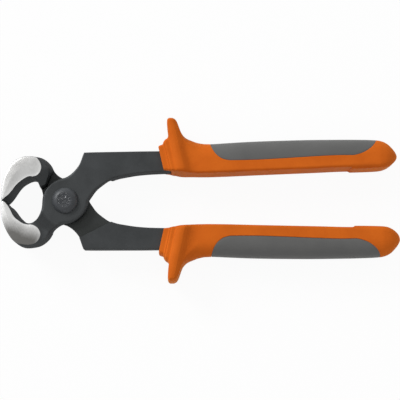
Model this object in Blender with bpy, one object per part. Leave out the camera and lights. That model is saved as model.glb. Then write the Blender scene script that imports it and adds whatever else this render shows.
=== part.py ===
"""Carpenter's end-cutting pincers, 200 mm long, lying flat with the jaws towards -X.

Two crossed levers turn on one rivet. The back lever and the lower handle are the front lever and the
upper handle turned half a turn about the long axis. Sizes are in millimetres until a mesh is written.
"""
import math

import bmesh
import bpy
from mathutils import Vector

MM = 0.001

# Place of the pivot in the frame, with the table at height zero
PIVOT_X = -68.7
MID_HEIGHT = 10.0

# Levers
JAW_HALF_WIDTH = 10.0
ARM_HALF_THICKNESS = 4.5
LAP_GAP = 0.15
BOSS_RADIUS = 11.55
RIVET_HOLE_RADIUS = 4.3
BOSS_RINGS = 3
SECTORS = 36
FIRST_SECTOR_ANGLE = -2.0
ARM_SECTORS = (0, 10)
JAW_SECTORS = (18, 27)
JAW_FACE_RAMP = (12.0, 19.0)
LEVER_EDGE = 0.6
# Straight walls of the recess that the other lever lies in: the direction each one faces away from,
# in degrees about the pivot, and the distances along it at which the wall starts and ends
ARM_WALLS = [(63.8, 17.2, 20.2)]
JAW_WALLS = [(201.7, 11.85, 12.45), (240.0, 11.6, 12.3)]

# Arm from the boss outwards, measured from the pivot: scallop and outer edge, then inner edge
ARM_OUTER = [(0.0, 11.95), (1.1, 12.5), (2.2, 13.2), (3.5, 14.25), (4.85, 15.6), (6.15, 17.15),
             (7.2, 18.8), (7.98, 20.7), (8.58, 22.5), (9.4, 24.6), (13.5, 24.7), (19.0, 24.75),
             (28.0, 24.82), (38.0, 24.9), (47.6, 24.9)]
ARM_INNER = [(12.1, 0.6), (12.85, 1.7), (13.85, 3.2), (14.95, 4.7), (16.25, 6.1), (17.7, 7.3),
             (19.2, 8.45), (20.8, 9.6), (22.5, 10.55), (24.3, 11.3), (26.8, 12.05), (29.7, 12.6),
             (35.0, 13.5), (41.5, 14.12), (50.0, 14.45)]
# Tang inside the sleeve: distance along it, outer edge, inner edge, half thickness
TANG = [(51.7, 24.9, 14.5, 4.5), (52.1, 23.8, 17.7, 2.5), (80.0, 24.4, 18.4, 2.5),
        (115.0, 24.9, 19.6, 2.4), (148.0, 24.6, 19.9, 2.3)]

# Jaw from the boss outwards, measured from the pivot: side of the eye, then back
JAW_EYE = [(-11.85, -3.7), (-12.35, -5.8), (-12.85, -7.6), (-13.4, -9.0), (-14.15, -10.3),
           (-15.4, -11.35), (-17.3, -11.8), (-19.1, -11.25), (-21.0, -10.2), (-22.9, -8.8), (-24.8, -6.7),
           (-26.6, -4.15), (-28.3, -2.1), (-29.6, -0.9), (-30.3, -0.15)]
JAW_BACK = [(-2.3, -12.3), (-3.7, -13.15), (-4.85, -14.1), (-5.8, -15.2), (-6.5, -16.4), (-7.3, -18.1),
            (-8.95, -20.2), (-12.2, -22.5), (-16.0, -23.45), (-20.4, -23.45), (-24.5, -21.3),
            (-27.8, -16.9), (-30.0, -12.0), (-31.3, -6.1), (-31.0, -0.15)]
# Slope of the jaw's inner wall: how far its face edge lies back from its middle, rung by rung
JAW_DRAFT = [0.0, 0.0, 0.0, 0.0, 0.0, 0.1, 0.25, 0.45, 0.6, 0.65, 0.6, 0.45, 0.2, 0.0, 0.0]
# How far the outer wall draws in from its middle to the side face on the recess side, rung by rung,
# and the share of it on the other side
JAW_INSET = [0.0, 0.0, 0.0, 0.9, 1.6, 1.95, 1.95, 1.9, 1.9, 2.0, 1.5, 0.8, 0.6, 0.25, 0.0]
OTHER_SIDE_SHARE = 0.3
INSET_POWER = 1.1

# Rivet
RIVET_SHANK_RADIUS = 4.0
RIVET_HEAD_RADIUS = 6.6
RIVET_SEAT_GAP = 0.2
RIVET_SIDES = 32
# Half outline of a head from the middle of its dimple outwards: radius, height above its seat
RIVET_HEAD = [(0.0, 2.4), (3.5, 2.5), (3.9, 2.9), (5.3, 2.2), (6.3, 1.1), (RIVET_HEAD_RADIUS, 0.5)]

# Handle sections from the mouth to the end: place along X at the middle of the handle, inner edge,
# outer edge, half thickness, depth of the outer rounding and radius of the inner corner
LEAN = 0.2235
LEAN_FADE = (-6.0, 4.0)
LEAN_CENTRE = 21.0
HANDLE = [
    (-20.2, 15.05, 27.2, 6.95, 2.0, 0.8),
    (-17.4, 14.5, 28.9, 7.55, 2.2, 0.9),
    (-17.1, 14.42, 29.8, 7.9, 2.4, 0.9),
    (-14.1, 13.95, 32.2, 8.8, 2.8, 1.0),
    (-13.65, 13.87, 35.4, 9.3, 3.0, 1.0),
    (-12.85, 13.7, 40.2, 9.65, 3.0, 1.2),
    (-12.2, 13.6, 41.5, 9.85, 3.0, 1.2),
    (-11.2, 13.5, 42.0, 10.0, 3.0, 1.4),
    (-9.9, 13.4, 42.0, 9.85, 3.0, 1.4),
    (-8.8, 13.3, 41.65, 9.3, 3.0, 1.4),
    (-8.0, 13.25, 40.7, 8.8, 3.2, 1.4),
    (-7.6, 13.2, 38.8, 8.5, 3.4, 1.3),
    (-7.3, 13.18, 36.5, 8.35, 3.6, 1.3),
    (-6.9, 13.15, 34.6, 8.1, 4.0, 1.3),
    (-6.1, 13.1, 33.0, 7.8, 4.8, 1.2),
    (-4.7, 13.05, 31.6, 7.55, 6.0, 1.2),
    (-2.9, 13.0, 30.6, 7.45, 7.4, 1.2),
    (-0.9, 13.0, 29.6, 7.5, 8.5, 1.2),
    (2.0, 13.0, 28.95, 7.7, 9.0, 1.2),
    (5.2, 13.05, 28.85, 7.85, 9.0, 1.2),
]
GRIP_INNER = [(5.2, 13.05), (12.0, 13.2), (25.0, 13.65), (42.0, 14.2), (58.0, 14.7), (75.6, 15.25)]
GRIP_OUTER = [(5.2, 28.85), (12.0, 29.2), (25.0, 29.85), (42.0, 30.3), (58.0, 30.5), (76.0, 30.42),
              (90.0, 29.9)]
GRIP_HALF_THICKNESS = 7.9
GRIP_OUTER_ROUNDING = 9.0
GRIP_INNER_CORNER = 1.2
HEEL_START = 76.8
HEEL_INNER = 14.5
HEEL_CORNER = 2.4
NOSE = [
    (90.0, 14.85, 29.9, 7.9, 9.0, 2.4),
    (92.6, 15.1, 29.35, 7.6, 9.0, 2.6),
    (95.1, 15.9, 28.05, 6.9, 7.8, 2.8),
    (97.4, 17.4, 25.8, 5.5, 5.0, 2.2),
    (98.9, 18.9, 23.9, 3.8, 2.8, 1.4),
    (99.7, 20.2, 22.5, 2.1, 1.3, 0.8),
    (100.0, 21.0, 21.9, 0.9, 0.5, 0.3),
]
ROUNDING_POWER = 2.3

# Opening of the sleeve at its mouth, then its pocket round the tang
MOUTH_END = -16.5
MOUTH_HALF_GAP = 4.8
MOUTH_OUTER = 25.2
POCKET = [(-16.5, 24.2, 17.3, 2.9), (15.0, 24.85, 18.0, 2.9), (50.0, 25.3, 19.2, 2.8),
          (80.0, 25.0, 19.5, 2.7)]

# Soft inlay: its boundary seen from the front, its thickness and the gap round it
INLAY_EDGE = [(4.9, 28.0), (5.6, 25.9), (7.0, 23.3), (9.0, 21.2), (11.4, 19.8), (15.2, 19.1),
              (26.0, 19.2), (40.0, 19.75), (55.0, 20.55), (71.0, 21.15), (HEEL_START, 21.1), (79.2, 21.55),
              (82.5, 22.75), (85.4, 24.6), (87.7, 26.8), (89.3, 29.3)]
INLAY_THICKNESS = 1.5
INLAY_GAP = 0.3
INLAY_END_ROW = 0.96
PLAIN_ROW = 0.6
ROW_FADE = 6.0
FACE_ROWS = 3
SOFT_ROWS = 5


def new_material(name, colour, metallic, roughness):
    material = bpy.data.materials.new(name)
    material.use_nodes = True
    shader = material.node_tree.nodes["Principled BSDF"]
    shader.inputs["Base Color"].default_value = (*colour, 1.0)
    shader.inputs["Metallic"].default_value = metallic
    shader.inputs["Roughness"].default_value = roughness
    material.diffuse_color = (*colour, 1.0)
    return material


def blend(start, end, share):
    return start + (end - start) * share


def ease(value, start, end):
    share = min(1.0, max(0.0, (value - start) / (end - start)))
    return share * share * (3.0 - 2.0 * share)


def value_at(table, place):
    """Reads the row of a table at a place between its first column's values."""
    if place <= table[0][0]:
        return table[0][1:]
    for low, high in zip(table, table[1:]):
        if place <= high[0]:
            share = (place - low[0]) / (high[0] - low[0])
            return tuple(blend(a, b, share) for a, b in zip(low[1:], high[1:]))
    return table[-1][1:]


def finish_object(name, mesh_data, material, smooth):
    """Cleans a mesh drawn about the pivot and links it as an object with its origin there."""
    bmesh.ops.recalc_face_normals(mesh_data, faces=mesh_data.faces)
    for vertex in mesh_data.verts:
        vertex.co *= MM
    mesh = bpy.data.meshes.new(name)
    mesh_data.to_mesh(mesh)
    mesh_data.free()
    mesh.materials.append(material)
    for polygon in mesh.polygons:
        polygon.use_smooth = smooth
    part = bpy.data.objects.new(name, mesh)
    part.location = (PIVOT_X * MM, 0.0, MID_HEIGHT * MM)
    bpy.context.scene.collection.objects.link(part)
    return part


def turned(points, turn):
    """Turns points half a turn about the long axis for the back lever and the lower handle."""
    if not turn:
        return points
    return [(x, -y, -z) for x, y, z in points]


class Sheet:
    """A flat net of four-sided cells, each corner with its own points above, half way and below."""

    def __init__(self):
        self.points = []
        self.cells = []

    def add(self, x, y, top, bottom, slope_x=0.0, slope_y=0.0, inset_x=0.0, inset_y=0.0):
        """Adds a corner; a slope tips the wall over, an inset draws both of its ends in."""
        above = OTHER_SIDE_SHARE * (top / JAW_HALF_WIDTH) ** INSET_POWER
        below = (max(0.0, -bottom) / JAW_HALF_WIDTH) ** INSET_POWER
        self.points.append(((x + slope_x + inset_x * above, y + slope_y + inset_y * above, top),
                            (x, y, (top + bottom) / 2.0),
                            (x - slope_x + inset_x * below, y - slope_y + inset_y * below, bottom)))
        return len(self.points) - 1

    def add_band(self, lower, upper):
        for i in range(len(lower) - 1):
            self.cells.append((lower[i], upper[i], upper[i + 1], lower[i + 1]))

    def rim(self):
        """Edges of the net that only one cell uses, in the cell's own direction."""
        edges = set()
        for cell in self.cells:
            for start, end in zip(cell, cell[1:] + cell[:1]):
                edges.add((start, end))
        return [edge for edge in sorted(edges) if (edge[1], edge[0]) not in edges]

    def solid(self, turn):
        """The closed solid, and the edges along the rims of its two faces."""
        mesh_data = bmesh.new()
        rim = self.rim()
        on_rim = {corner for edge in rim for corner in edge}
        tops = [mesh_data.verts.new(point) for point in turned([group[0] for group in self.points], turn)]
        bottoms = [mesh_data.verts.new(point) for point in turned([group[2] for group in self.points], turn)]
        middles = {}
        for i, point in enumerate(turned([group[1] for group in self.points], turn)):
            if i in on_rim:
                middles[i] = mesh_data.verts.new(point)
        for cell in self.cells:
            mesh_data.faces.new([tops[i] for i in cell])
            mesh_data.faces.new([bottoms[i] for i in reversed(cell)])
        rim_edges = []
        for start, end in rim:
            mesh_data.faces.new([bottoms[start], bottoms[end], middles[end], middles[start]])
            mesh_data.faces.new([middles[start], middles[end], tops[end], tops[start]])
            for side in (tops, bottoms):
                rim_edges.append(mesh_data.edges.get((side[start], side[end])))
        return mesh_data, rim_edges


def polar(radius, degrees):
    angle = math.radians(degrees)
    return radius * math.cos(angle), radius * math.sin(angle)


def rung_points(first, last, count):
    """Points across a lever, on an arc about the pivot near it and on a straight line far from it."""
    radius_a = math.hypot(*first)
    radius_b = math.hypot(*last)
    angle_a = math.degrees(math.atan2(first[1], first[0]))
    angle_b = math.degrees(math.atan2(last[1], last[0]))
    if angle_b < angle_a:
        angle_b += 360.0
    arc_share = 1.0 - ease((radius_a + radius_b) / 2.0, 20.0, 26.0)
    points = []
    for i in range(count):
        share = i / (count - 1)
        on_arc = polar(blend(radius_a, radius_b, share), blend(angle_a, angle_b, share))
        on_line = (blend(first[0], last[0], share), blend(first[1], last[1], share))
        points.append(tuple(blend(a, b, arc_share) for a, b in zip(on_line, on_arc)))
    return points


def wall_share(x, y, walls):
    """How far a point lies up the walls of the recess: 0 on its floor, 1 at full thickness."""
    share = 1.0
    for direction, start, end in walls:
        angle = math.radians(direction)
        distance = x * math.cos(angle) + y * math.sin(angle)
        share *= min(1.0, max(0.0, (distance - start) / (end - start)))
    return share


def add_boss(sheet):
    """The round joint disc with the rivet hole; returns the corners on its rim."""
    rings = []
    for ring in range(BOSS_RINGS + 1):
        radius = blend(RIVET_HOLE_RADIUS, BOSS_RADIUS, ring / BOSS_RINGS)
        corners = []
        for sector in range(SECTORS):
            x, y = polar(radius, FIRST_SECTOR_ANGLE + sector * 360.0 / SECTORS)
            corners.append(sheet.add(x, y, ARM_HALF_THICKNESS, LAP_GAP))
        rings.append(corners)
    for lower, upper in zip(rings, rings[1:]):
        sheet.add_band(lower + lower[:1], upper + upper[:1])
    return rings[-1]


def add_arm(sheet, root):
    previous = root
    for inner, outer in zip(ARM_INNER, ARM_OUTER):
        rung = []
        for x, y in rung_points(inner, outer, len(root)):
            bottom = blend(LAP_GAP, -ARM_HALF_THICKNESS, wall_share(x, y, ARM_WALLS))
            rung.append(sheet.add(x, y, ARM_HALF_THICKNESS, bottom))
        sheet.add_band(previous, rung)
        previous = rung
    for place, outer_y, inner_y, half in TANG:
        lean = LEAN * (1.0 - ease(place + PIVOT_X, *LEAN_FADE))
        rung = []
        for i in range(len(root)):
            y = blend(inner_y, outer_y, i / (len(root) - 1))
            rung.append(sheet.add(place - lean * (y - LEAN_CENTRE), y, half, -half))
        sheet.add_band(previous, rung)
        previous = rung


def add_jaw(sheet, root):
    previous = root
    for eye, back, draft, inset in zip(JAW_EYE, JAW_BACK, JAW_DRAFT, JAW_INSET):
        rung = []
        across = (Vector(back) - Vector(eye)).normalized()
        for i, (x, y) in enumerate(rung_points(eye, back, len(root))):
            share = i / (len(root) - 1)
            slope = across * draft * (1.0 - share)
            drawn_in = -across * inset * share ** 2
            top = blend(ARM_HALF_THICKNESS, JAW_HALF_WIDTH, ease(math.hypot(x, y), *JAW_FACE_RAMP))
            bottom = blend(LAP_GAP, -top, wall_share(x, y, JAW_WALLS))
            rung.append(sheet.add(x, y, top, bottom, slope.x, slope.y, drawn_in.x, drawn_in.y))
        sheet.add_band(previous, rung)
        previous = rung


def is_chamfered(edge):
    """True for a rim edge that is neither in the rivet hole, in the sleeve nor at the cutting edge."""
    middle = (edge.verts[0].co + edge.verts[1].co) / 2.0
    in_hole = math.hypot(middle.x, middle.y) < RIVET_HOLE_RADIUS + 0.1
    in_sleeve = middle.x > ARM_INNER[-1][0]
    at_tip = middle.x < JAW_EYE[-4][0] and abs(middle.y) < 4.0
    return not (in_hole or in_sleeve or at_tip)


def build_lever(name, turn, material):
    sheet = Sheet()
    rim = add_boss(sheet)
    add_arm(sheet, rim[ARM_SECTORS[0]:ARM_SECTORS[1] + 1])
    add_jaw(sheet, rim[JAW_SECTORS[0]:JAW_SECTORS[1] + 1])
    mesh_data, rim_edges = sheet.solid(turn)
    bmesh.ops.recalc_face_normals(mesh_data, faces=mesh_data.faces)
    edges = [edge for edge in rim_edges if is_chamfered(edge)]
    bmesh.ops.bevel(mesh_data, geom=edges, offset=LEVER_EDGE, segments=1, affect="EDGES",
                    profile=0.5, material=-1)
    return finish_object(name, mesh_data, material, False)


def handle_row(place):
    """Inner edge, outer edge, half thickness, outer rounding and inner corner at a place."""
    if place <= HANDLE[-1][0]:
        return value_at(HANDLE, place)
    if place >= NOSE[0][0]:
        return value_at(NOSE, place)
    inner, = value_at(GRIP_INNER, place)
    outer, = value_at(GRIP_OUTER, place)
    corner = GRIP_INNER_CORNER
    if place > GRIP_INNER[-1][0]:
        step = ease(place, GRIP_INNER[-1][0], HEEL_START)
        inner = blend(inner, blend(HEEL_INNER, NOSE[0][1], ease(place, HEEL_START, NOSE[0][0])), step)
        corner = blend(corner, HEEL_CORNER, step)
    return inner, outer, GRIP_HALF_THICKNESS, GRIP_OUTER_ROUNDING, corner


def section_point(row, share, depth):
    """A point on the near half of a section: share 0 is the inner corner, 1 the outer edge."""
    inner, outer, half, rounding, corner = row
    start = inner + corner
    outer_here = outer - depth
    half_here = half - depth
    rounding_here = max(0.3, rounding - depth * 0.5)
    y = start + (outer_here - start) * math.sin(share * math.pi / 2.0)
    into_round = max(0.0, (y - (outer_here - rounding_here)) / rounding_here)
    z = half_here * max(0.0, 1.0 - into_round ** ROUNDING_POWER) ** (1.0 / ROUNDING_POWER)
    return y, z


def inlay_share(place, row):
    """Where the inlay's boundary crosses the section, as a share of its outer half."""
    first = INLAY_EDGE[0][0]
    last = INLAY_EDGE[-1][0]
    y, = value_at(INLAY_EDGE, place)
    start = row[0] + row[4]
    reach = min(INLAY_END_ROW, (y - start) / (row[1] - start))
    share = min(INLAY_END_ROW, math.asin(reach) * 2.0 / math.pi)
    away = max(first - place, place - last, 0.0)
    return blend(share, PLAIN_ROW, ease(away, 0.0, ROW_FADE))


def leaning(place, y):
    """The X of a handle point, measured from the pivot, for a section that leans with the mouth."""
    lean = LEAN * (1.0 - ease(place, *LEAN_FADE))
    return place - lean * (y - LEAN_CENTRE) - PIVOT_X


def handle_loop(place, depth, slot):
    """The closed outline of the handle at a place, from the middle of its inner side and round it."""
    row = handle_row(place)
    inner, outer, half, rounding, corner = row
    floor = MOUTH_OUTER if slot else inner
    slot_half = min(MOUTH_HALF_GAP, half - corner - 0.2)
    near = [(floor, 0.0), (floor, slot_half if slot else slot_half / 2.0), (inner, slot_half)]
    near.append((inner, half - corner))
    near.append((inner + corner * 0.3, half - corner * 0.3))
    boundary = inlay_share(place, row)
    for i in range(FACE_ROWS + 1):
        near.append(section_point(row, boundary * i / FACE_ROWS, 0.0))
    for i in range(SOFT_ROWS + 1):
        near.append(section_point(row, blend(boundary + 0.002, 1.0, i / SOFT_ROWS), depth))
    far = [(y, -z) for y, z in reversed(near[1:-1])]
    return [(leaning(place, y), y, z) for y, z in near + far]


def handle_places():
    """Places of the outline loops with the depth of the inlay's seat at each."""
    first = INLAY_EDGE[0][0] - INLAY_GAP
    last = INLAY_EDGE[-1][0] + INLAY_GAP
    deep = INLAY_THICKNESS + INLAY_GAP
    places = [(row[0], 0.0) for row in HANDLE[:-1]]
    places += [(first - 0.1, 0.0), (first, deep)]
    places += [(row[0], deep) for row in INLAY_EDGE[1:-1]]
    places += [(GRIP_INNER[-1][0], deep), (last, deep), (last + 0.1, 0.0)]
    places += [(row[0], 0.0) for row in NOSE]
    return sorted(places)


def bridge(mesh_data, lower, upper):
    count = len(lower)
    for i in range(count):
        following = (i + 1) % count
        corners = [lower[i], lower[following], upper[following], upper[i]]
        distinct = [corner for n, corner in enumerate(corners) if corner not in corners[:n]]
        if len(distinct) > 2:
            mesh_data.faces.new(distinct)


def pocket_loop(place, outer, inner, half):
    corners = [(inner, half), (outer, half), (outer, 0.0), (outer, -half), (inner, -half),
               (inner, -half / 2.0), (inner, 0.0), (inner, half / 2.0)]
    return [(leaning(place, y), y, z) for y, z in corners]


def build_grip_body(name, turn, material):
    """The hard sleeve: an open mouth that straddles the arm, a guard, a seat for the inlay, a nose."""
    mesh_data = bmesh.new()

    def new_loop(points):
        return [mesh_data.verts.new(point) for point in turned(points, turn)]

    open_places = [(place, 0.0) for place, depth in handle_places() if place < MOUTH_END - 0.1]
    open_loops = [new_loop(handle_loop(place, depth, True)) for place, depth in open_places]
    open_loops.append(new_loop(handle_loop(MOUTH_END, 0.0, True)))
    for lower, upper in zip(open_loops, open_loops[1:]):
        bridge(mesh_data, lower, upper)
    mesh_data.faces.new(open_loops[0])

    wall = list(open_loops[-1])
    wall_rows = turned(handle_loop(MOUTH_END, 0.0, False), turn)
    for i in (-1, 0, 1):
        wall[i] = mesh_data.verts.new(wall_rows[i])
    slot = open_loops[-1]
    mouth_end = [slot[2], slot[1], slot[0], slot[-1], slot[-2], wall[-1], wall[0], wall[1]]

    previous = mouth_end
    for place, outer, inner, half in POCKET:
        following = new_loop(pocket_loop(place, outer, inner, half))
        bridge(mesh_data, previous, following)
        previous = following
    mesh_data.faces.new(previous)

    previous = wall
    for place, depth in handle_places():
        if place > MOUTH_END + 0.1:
            following = new_loop(handle_loop(place, depth, False))
            bridge(mesh_data, previous, following)
            previous = following
    mesh_data.faces.new(previous)
    return finish_object(name, mesh_data, material, False)


def inlay_loop(place, thin):
    """A C-shaped outline: the skin from the near boundary over the outer edge, then back inside it."""
    row = handle_row(place)
    boundary = inlay_share(place, row)
    boundary += INLAY_GAP / (row[1] - row[0]) * (1.0 - boundary) * 2.0 + 0.006
    shares = [blend(boundary, 1.0, i / SOFT_ROWS) for i in range(SOFT_ROWS + 1)]
    near = [section_point(row, share, 0.0) for share in shares]
    outside = near + [(y, -z) for y, z in reversed(near[:-1])]
    near = [section_point(row, share, thin) for share in shares]
    inside = near + [(y, -z) for y, z in reversed(near[:-1])]
    return [(leaning(place, y), y, z) for y, z in outside + inside[::-1]]


def build_inlay(name, turn, material):
    mesh_data = bmesh.new()
    places = [row[0] for row in INLAY_EDGE] + [GRIP_INNER[-1][0]]
    loops = []
    for place in sorted(places):
        points = turned(inlay_loop(place, INLAY_THICKNESS), turn)
        loops.append([mesh_data.verts.new(point) for point in points])
    for lower, upper in zip(loops, loops[1:]):
        bridge(mesh_data, lower, upper)
    for end in (loops[0], loops[-1]):
        count = len(end)
        for i in range(count // 2 - 1):
            mesh_data.faces.new([end[i], end[i + 1], end[count - 2 - i], end[count - 1 - i]])
    return finish_object(name, mesh_data, material, True)


def build_rivet(name, material):
    """One rivet, turned about the pivot: domed heads with a dimple, and a shank between them."""
    seat = ARM_HALF_THICKNESS + RIVET_SEAT_GAP
    half_profile = [(radius, seat + height) for radius, height in RIVET_HEAD]
    half_profile += [(RIVET_HEAD_RADIUS, seat), (RIVET_SHANK_RADIUS, seat)]
    profile = half_profile + [(radius, -height) for radius, height in reversed(half_profile)]
    mesh_data = bmesh.new()
    corners = [mesh_data.verts.new((radius, 0.0, height)) for radius, height in profile]
    edges = [mesh_data.edges.new(pair) for pair in zip(corners, corners[1:])]
    bmesh.ops.spin(mesh_data, geom=corners + edges, axis=(0.0, 0.0, 1.0), cent=(0.0, 0.0, 0.0),
                   angle=math.tau, steps=RIVET_SIDES, use_merge=True)
    bmesh.ops.remove_doubles(mesh_data, verts=mesh_data.verts, dist=0.0001)
    return finish_object(name, mesh_data, material, True)


def main():
    for item in list(bpy.data.objects):
        bpy.data.objects.remove(item, do_unlink=True)
    front_steel = new_material("front lever steel", (0.055, 0.058, 0.060), 0.6, 0.5)
    back_steel = new_material("back lever steel", (0.055, 0.058, 0.060), 0.6, 0.5)
    rivet_steel = new_material("rivet steel", (0.10, 0.11, 0.12), 0.8, 0.4)
    upper_orange = new_material("upper sleeve orange", (0.62, 0.13, 0.015), 0.0, 0.45)
    lower_orange = new_material("lower sleeve orange", (0.62, 0.13, 0.015), 0.0, 0.45)
    upper_grey = new_material("upper inlay grey", (0.11, 0.11, 0.105), 0.0, 0.7)
    lower_grey = new_material("lower inlay grey", (0.11, 0.11, 0.105), 0.0, 0.7)
    build_lever("front_lever", False, front_steel)
    build_lever("back_lever", True, back_steel)
    build_rivet("pivot_rivet", rivet_steel)
    build_grip_body("upper_grip_body", False, upper_orange)
    build_grip_body("lower_grip_body", True, lower_orange)
    build_inlay("upper_grip_inlay", False, upper_grey)
    build_inlay("lower_grip_inlay", True, lower_grey)


main()
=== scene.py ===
import math

import bmesh
import bpy
import numpy as np
from mathutils import Matrix, Vector, noise


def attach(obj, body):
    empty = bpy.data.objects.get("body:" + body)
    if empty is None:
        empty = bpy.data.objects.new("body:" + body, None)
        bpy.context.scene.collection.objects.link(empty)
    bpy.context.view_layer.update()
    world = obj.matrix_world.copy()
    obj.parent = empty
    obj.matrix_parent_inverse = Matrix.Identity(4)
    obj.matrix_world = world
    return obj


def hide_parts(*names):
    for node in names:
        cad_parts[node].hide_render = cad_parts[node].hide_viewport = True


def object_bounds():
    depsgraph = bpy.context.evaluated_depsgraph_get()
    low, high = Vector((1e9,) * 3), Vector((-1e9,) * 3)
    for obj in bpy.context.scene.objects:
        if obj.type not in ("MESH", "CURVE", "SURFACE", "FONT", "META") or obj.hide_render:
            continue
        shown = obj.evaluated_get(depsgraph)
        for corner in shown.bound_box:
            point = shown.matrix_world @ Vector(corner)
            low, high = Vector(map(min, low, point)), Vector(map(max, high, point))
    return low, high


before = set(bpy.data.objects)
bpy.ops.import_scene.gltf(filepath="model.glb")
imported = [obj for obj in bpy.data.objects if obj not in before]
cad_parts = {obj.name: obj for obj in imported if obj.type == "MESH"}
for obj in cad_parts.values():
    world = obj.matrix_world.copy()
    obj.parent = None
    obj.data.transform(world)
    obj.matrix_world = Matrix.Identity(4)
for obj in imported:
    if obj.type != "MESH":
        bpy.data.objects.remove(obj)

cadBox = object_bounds()
print("frame loaded")

mm = 0.001
pivot = Vector((-68.7, 0.0, 10.0))     # rivet axis at the middle of the tool's thickness, in mm
mergeDistance = 0.0005                 # corners closer than this become one, in mm
cutDistance = 0.002                    # a corner this near to a cutting plane counts as on it, in mm
matchDistance = 0.01                   # a corner this near to a point is taken for it, in mm


def blend(start, end, share):
    return start + (end - start) * share


def ease(value, start, end):
    share = min(1.0, max(0.0, (value - start) / (end - start)))
    return share * share * (3.0 - 2.0 * share)


def crowd(share, amount):     # draws evenly spaced shares towards both ends
    return share - amount * math.sin(math.tau * share) / math.tau


def polar(radius, degrees):
    angle = math.radians(degrees)
    return Vector((radius * math.cos(angle), radius * math.sin(angle)))


def hermite(start, end, leaving, arriving, share):
    square, cube = share * share, share * share * share
    return (start * (2 * cube - 3 * square + 1) + leaving * (cube - 2 * square + share)
            + end * (3 * square - 2 * cube) + arriving * (cube - square))


def alongCurve(points, place, corners=()):
    # a smooth curve through the points, with a sharp turn at each numbered corner
    i = max(0, min(int(place), len(points) - 2))
    start, end = Vector(points[i]), Vector(points[i + 1])
    chord = end - start
    length = chord.length

    def slope(middle, before, after):
        lengthIn, lengthOut = (middle - before).length, (after - middle).length
        weighted = (middle - before) / lengthIn * lengthOut + (after - middle) / lengthOut * lengthIn
        return weighted / (lengthIn + lengthOut) * length

    leaving, arriving = chord, chord
    if i > 0 and i not in corners:
        leaving = slope(start, Vector(points[i - 1]), end)
    if i + 2 < len(points) and i + 1 not in corners:
        arriving = slope(end, start, Vector(points[i + 2]))
    return hermite(start, end, leaving, arriving, place - i)


def rowSlope(table, i, column):     # slope of a column at one of its rows, flat where the column turns back
    if i == 0 or i == len(table) - 1:
        low, high = (0, 1) if i == 0 else (i - 1, i)
        return (table[high][column] - table[low][column]) / (table[high][0] - table[low][0])
    stepIn, stepOut = table[i][0] - table[i - 1][0], table[i + 1][0] - table[i][0]
    slopeIn = (table[i][column] - table[i - 1][column]) / stepIn
    slopeOut = (table[i + 1][column] - table[i][column]) / stepOut
    if slopeIn * slopeOut <= 0.0:
        return 0.0
    weightIn, weightOut = 2 * stepOut + stepIn, stepOut + 2 * stepIn
    return (weightIn + weightOut) / (weightIn / slopeIn + weightOut / slopeOut)


def rowAt(table, place):     # a table's row at any place, smooth and never past its neighbours
    place = min(max(place, table[0][0]), table[-1][0])
    i = 0
    while i < len(table) - 2 and place > table[i + 1][0]:
        i += 1
    step = table[i + 1][0] - table[i][0]
    return [hermite(table[i][column], table[i + 1][column], rowSlope(table, i, column) * step,
                    rowSlope(table, i + 1, column) * step, (place - table[i][0]) / step)
            for column in range(1, len(table[0]))]


def finishPiece(node, bm, material, body, sharpAngle, turned=False):
    # from millimetres about the pivot to its place in the frame, where it stands for the node of its name
    bmesh.ops.recalc_face_normals(bm, faces=bm.faces)
    for vert in bm.verts:
        if turned:
            vert.co.y, vert.co.z = -vert.co.y, -vert.co.z
        vert.co = (vert.co + pivot) * mm
    mesh = bpy.data.meshes.new(node + "Piece")
    bm.to_mesh(mesh)
    bm.free()
    mesh.materials.append(material)
    mesh.shade_smooth()
    mesh.set_sharp_from_angle(angle=math.radians(sharpAngle))
    piece = bpy.data.objects.new(node + "Piece", mesh)
    bpy.context.scene.collection.objects.link(piece)
    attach(piece, body)
    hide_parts(node)
    print("built", piece.name, len(mesh.polygons), "faces")


# Shader helpers
def addNode(tree, kind, inputs=None, **settings):
    node = tree.nodes.new(kind)
    for key, value in settings.items():
        setattr(node, key, value)
    for key, value in (inputs or {}).items():
        if isinstance(value, bpy.types.NodeSocket):
            tree.links.new(value, node.inputs[key])
        else:
            node.inputs[key].default_value = value
    return node


def addMath(tree, operation, *values):
    return addNode(tree, "ShaderNodeMath", dict(enumerate(values)), operation=operation).outputs[0]


def addNoise(tree, place, scale, detail, roughness=0.5):
    return addNode(tree, "ShaderNodeTexNoise", {"Vector": place, "Scale": scale, "Detail": detail,
                                               "Roughness": roughness}).outputs["Fac"]


def spread(tree, value, low, high, outLow, outHigh):
    node = addNode(tree, "ShaderNodeMapRange", {"Value": value, 1: low, 2: high, 3: outLow, 4: outHigh})
    return node.outputs["Result"]


def valueMix(tree, factor, valueA, valueB):
    node = addNode(tree, "ShaderNodeMix", {"Factor": factor, 2: valueA, 3: valueB}, data_type="FLOAT")
    return node.outputs[0]


def colourMix(tree, factor, colourA, colourB):
    node = addNode(tree, "ShaderNodeMix", {"Factor": factor, 6: colourA, 7: colourB}, data_type="RGBA")
    return node.outputs[2]


def toneRamp(tree, value, low, high, darkColour, lightColour):
    share = spread(tree, value, low, high, 0.0, 1.0)
    return colourMix(tree, share, (*darkColour, 1.0), (*lightColour, 1.0))


def addAttribute(tree, name):
    return addNode(tree, "ShaderNodeAttribute", attribute_name=name).outputs["Fac"]


def newGroup(name, numberInputs, outputs):
    tree = bpy.data.node_groups.new(name, "ShaderNodeTree")
    tree.interface.new_socket("Vector", in_out="INPUT", socket_type="NodeSocketVector")
    for label, value in numberInputs.items():
        made = tree.interface.new_socket(label, in_out="INPUT", socket_type="NodeSocketFloat")
        made.default_value = value
    for label in outputs:
        tree.interface.new_socket(label, in_out="OUTPUT", socket_type="NodeSocketFloat")
    return tree, addNode(tree, "NodeGroupInput"), addNode(tree, "NodeGroupOutput")


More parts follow.
